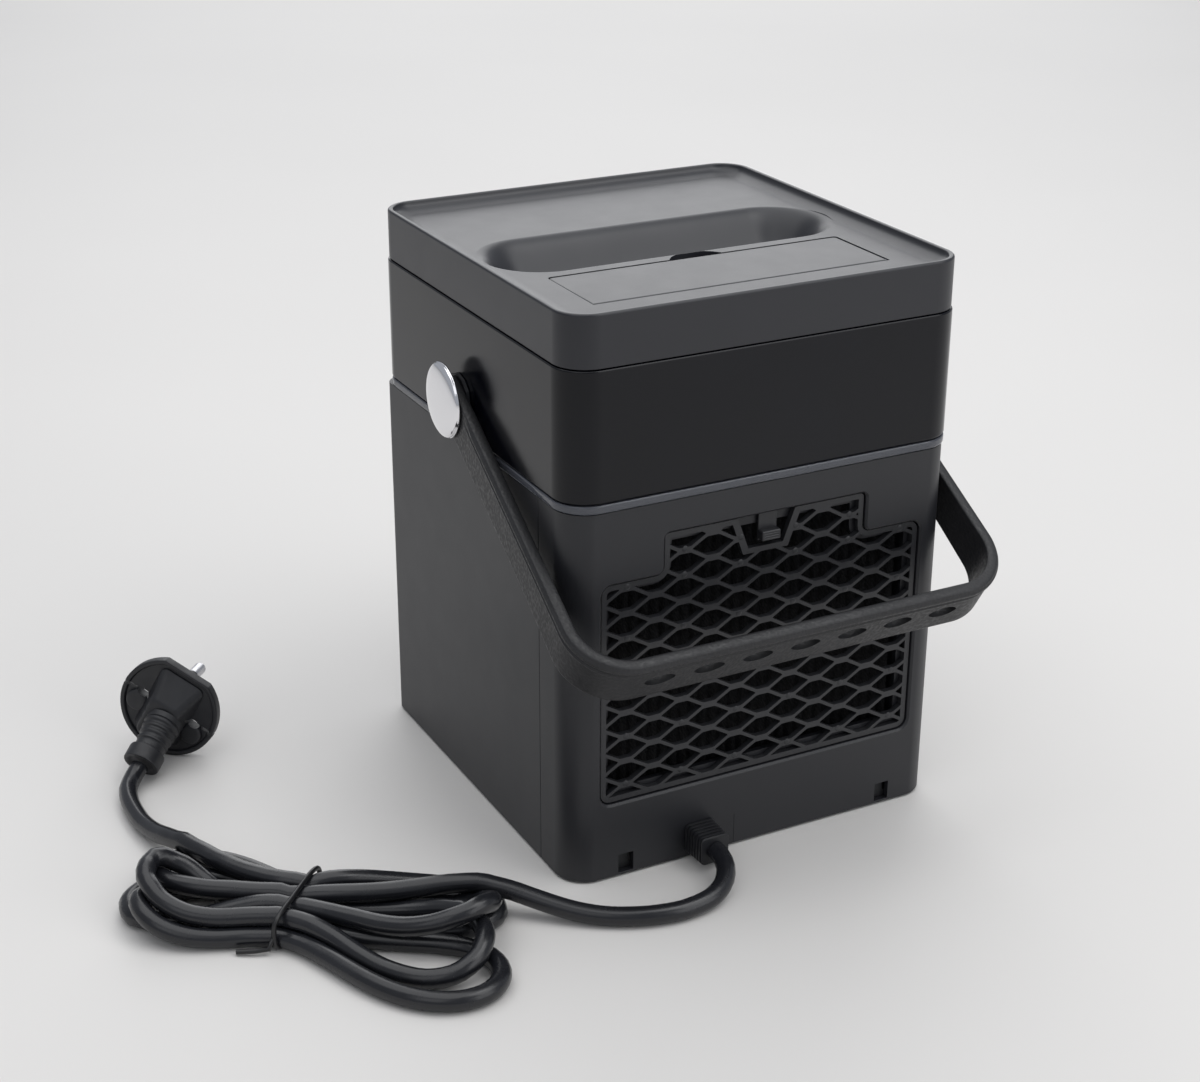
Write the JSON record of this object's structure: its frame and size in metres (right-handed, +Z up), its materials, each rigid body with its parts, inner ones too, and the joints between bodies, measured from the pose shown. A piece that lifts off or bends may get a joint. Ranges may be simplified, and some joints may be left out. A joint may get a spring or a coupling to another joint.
{
  "type": "evaporative air cooler",
  "caption": "Cube-shaped desk fan cooler with a top water tank, refill door, rear honeycomb grille, swinging strap handle, front louvres and a mains lead tied in a hank.",
  "frame": {"origin": "middle of the underside of the cabinet, on the surface it stands on", "axes": "+Z up, -Y towards the air outlet, +Y towards the intake grille, +X towards the side that the lead lies on"},
  "size_m": [0.3145, 0.2356, 0.21],
  "materials": {
    "shell": "satin",
    "lid": "satin",
    "tank": "gloss",
    "clear": "gloss",
    "strap": "grained",
    "chrome": "polished",
    "grille": "satin",
    "inner": "matte",
    "pad": "matte",
    "rubber": "matte",
    "seal": "matte",
    "cord": "satin",
    "tie": "satin",
    "steel": "satin",
    "board": "satin",
    "button": "satin"
  },
  "bodies": {
    "cabinet": {"base_plate": "inner", "foot_pad_1": "rubber", "foot_pad_2": "rubber", "foot_pad_3": "rubber", "foot_pad_4": "rubber", "base_screw_1": "steel", "base_screw_2": "steel", "base_screw_3": "steel", "base_screw_4": "steel", "front_housing": "shell", "rear_housing": "shell", "louvre_frame": "inner", "body_deck": "inner", "tank_base": "clear", "water_tank": "tank", "drip_outlet": "inner", "outlet_strainer": "inner", "pad_frame": "inner", "evaporator_pad": "pad", "trickle_tray": "inner", "sump_tray": "inner", "fan_shroud": "inner", "finger_guard": "inner", "motor_bracket": "inner", "fan_motor": "steel", "control_board": "board", "power_board": "board", "pivot_washer_left": "rubber", "pivot_washer_right": "rubber", "handle_pin_left": "steel", "handle_pin_right": "steel", "handle_cap_left": "chrome", "handle_cap_right": "chrome", "strain_relief": "rubber", "cord_lead": "cord", "cord_hank": "cord", "cord_tail": "cord", "cord_tie": "tie", "plug_body": "rubber", "plug_pin_1": "steel", "plug_pin_2": "steel"},
    "handle": {"handle_strap": "strap"},
    "lid": {"top_lid": "lid", "lid_seal": "seal"},
    "door": {"refill_door": "lid"},
    "grille": {"filter_grille": "grille"},
    "latch": {"grille_latch": "grille"},
    "fan_wheel": {"impeller": "grille", "motor_shaft": "steel"},
    "link": {"louvre_link": "inner"},
    "louvre_1": {"louvre_1": "grille"},
    "louvre_2": {"louvre_2": "grille"},
    "louvre_3": {"louvre_3": "grille"},
    "louvre_4": {"louvre_4": "grille"},
    "louvre_5": {"louvre_5": "grille"},
    "power_key": {"power_button": "button"},
    "speed_key": {"speed_button": "button"},
    "mist_key": {"mist_button": "button"},
    "timer_key": {"timer_button": "button"}
  },
  "joints": [
    {"name": "handle_swing", "type": "hinge", "parent": "cabinet", "child": "handle", "pos_m": [0, -0.0048, 0.1574], "axis": [1, 0, 0], "range_deg": [-11, 259]},
    {"name": "lid_lift", "type": "slide", "parent": "cabinet", "child": "lid", "axis": [0, 0, 1], "range_m": [0, 0.03]},
    {"name": "door_open", "type": "hinge", "parent": "lid", "child": "door", "pos_m": [0, 0.0577, 0.2049], "axis": [-1, 0, 0], "range_deg": [0, 95]},
    {"name": "grille_tilt", "type": "hinge", "parent": "cabinet", "child": "grille", "pos_m": [0, 0.0784, 0.031], "axis": [-1, 0, 0], "range_deg": [0, 15]},
    {"name": "latch_press", "type": "slide", "parent": "grille", "child": "latch", "axis": [0, 0, -1], "range_m": [0, 0.0015], "stiffness_N_per_m": 600},
    {"name": "fan_spin", "type": "hinge", "parent": "cabinet", "child": "fan_wheel", "pos_m": [0, -0.04, 0.078], "axis": [0, 1, 0], "continuous": true},
    {"name": "louvre_3_tilt", "type": "hinge", "parent": "cabinet", "child": "louvre_3", "pos_m": [0, -0.068, 0.083], "axis": [1, 0, 0], "range_deg": [-30, 30]},
    {"name": "louvre_1_tilt", "type": "hinge", "parent": "cabinet", "child": "louvre_1", "pos_m": [0, -0.068, 0.0494], "axis": [1, 0, 0], "range_deg": [-30, 30]},
    {"name": "louvre_2_tilt", "type": "hinge", "parent": "cabinet", "child": "louvre_2", "pos_m": [0, -0.068, 0.0662], "axis": [1, 0, 0], "range_deg": [-30, 30]},
    {"name": "louvre_4_tilt", "type": "hinge", "parent": "cabinet", "child": "louvre_4", "pos_m": [0, -0.068, 0.0998], "axis": [1, 0, 0], "range_deg": [-30, 30]},
    {"name": "louvre_5_tilt", "type": "hinge", "parent": "cabinet", "child": "louvre_5", "pos_m": [0, -0.068, 0.1166], "axis": [1, 0, 0], "range_deg": [-30, 30]},
    {"name": "link_swing", "type": "hinge", "parent": "louvre_3", "child": "link", "pos_m": [0.0476, -0.0575, 0.083], "axis": [1, 0, 0], "range_deg": [-30, 30]},
    {"name": "power_press", "type": "slide", "parent": "cabinet", "child": "power_key", "axis": [0, 1, 0], "range_m": [0, 0.001], "stiffness_N_per_m": 800},
    {"name": "speed_press", "type": "slide", "parent": "cabinet", "child": "speed_key", "axis": [0, 1, 0], "range_m": [0, 0.001], "stiffness_N_per_m": 800},
    {"name": "mist_press", "type": "slide", "parent": "cabinet", "child": "mist_key", "axis": [0, 1, 0], "range_m": [0, 0.001], "stiffness_N_per_m": 800},
    {"name": "timer_press", "type": "slide", "parent": "cabinet", "child": "timer_key", "axis": [0, 1, 0], "range_m": [0, 0.001], "stiffness_N_per_m": 800}
  ],
  "couplings": [
    {"joint": "louvre_1_tilt", "follows": "louvre_3_tilt", "ratio": 1},
    {"joint": "louvre_2_tilt", "follows": "louvre_3_tilt", "ratio": 1},
    {"joint": "louvre_4_tilt", "follows": "louvre_3_tilt", "ratio": 1},
    {"joint": "louvre_5_tilt", "follows": "louvre_3_tilt", "ratio": 1},
    {"joint": "link_swing", "follows": "louvre_3_tilt", "ratio": -1}
  ]
}
